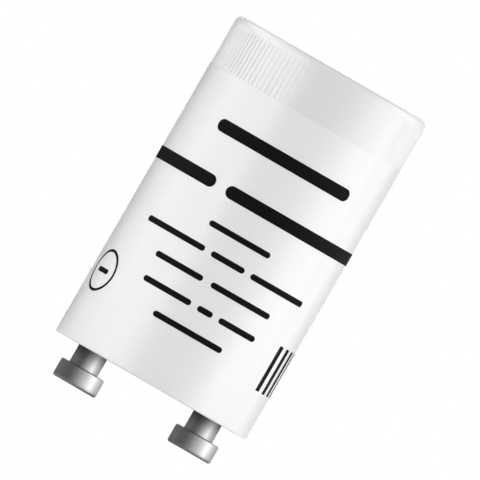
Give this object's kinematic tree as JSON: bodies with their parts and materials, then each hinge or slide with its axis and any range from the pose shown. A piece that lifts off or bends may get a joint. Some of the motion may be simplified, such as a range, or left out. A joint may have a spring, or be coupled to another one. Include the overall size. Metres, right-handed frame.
{
  "type": "fluorescent starter",
  "caption": "Glow starter for fluorescent tubes: white moulded can with a finely ribbed grip and headed contact pins, glow lamp and capacitor inside.",
  "frame": {"origin": "on the can's axis, level with the flat ends of the contact pins", "axes": "+Z along the can towards its closed top, X through both contact pins, -Y is the side with the print"},
  "size_m": [0.021, 0.021, 0.0389],
  "materials": {
    "white_polycarbonate": "moulded, satin",
    "black_ink": "pad printed",
    "natural_plastic": "moulded, matt",
    "nickel_plate": "nickel plated",
    "clear_glass": "clear",
    "copper_clad_wire": "drawn, copper clad",
    "tinned_wire": "drawn, tinned",
    "bimetal": "rolled",
    "electrode_nickel": "drawn",
    "dipped_resin": "dipped"
  },
  "bodies": {
    "root": {"housing": "white_polycarbonate", "base_plate": "natural_plastic", "contact_pin_left": "nickel_plate", "contact_pin_right": "nickel_plate", "lamp_envelope": "clear_glass", "lamp_stem": "clear_glass", "lamp_lead_left": "copper_clad_wire", "lamp_lead_right": "copper_clad_wire", "bimetal_strip": "bimetal", "fixed_electrode": "electrode_nickel", "capacitor_body": "dipped_resin", "capacitor_lead_left": "tinned_wire", "capacitor_lead_right": "tinned_wire"}
  },
  "joints": []
}
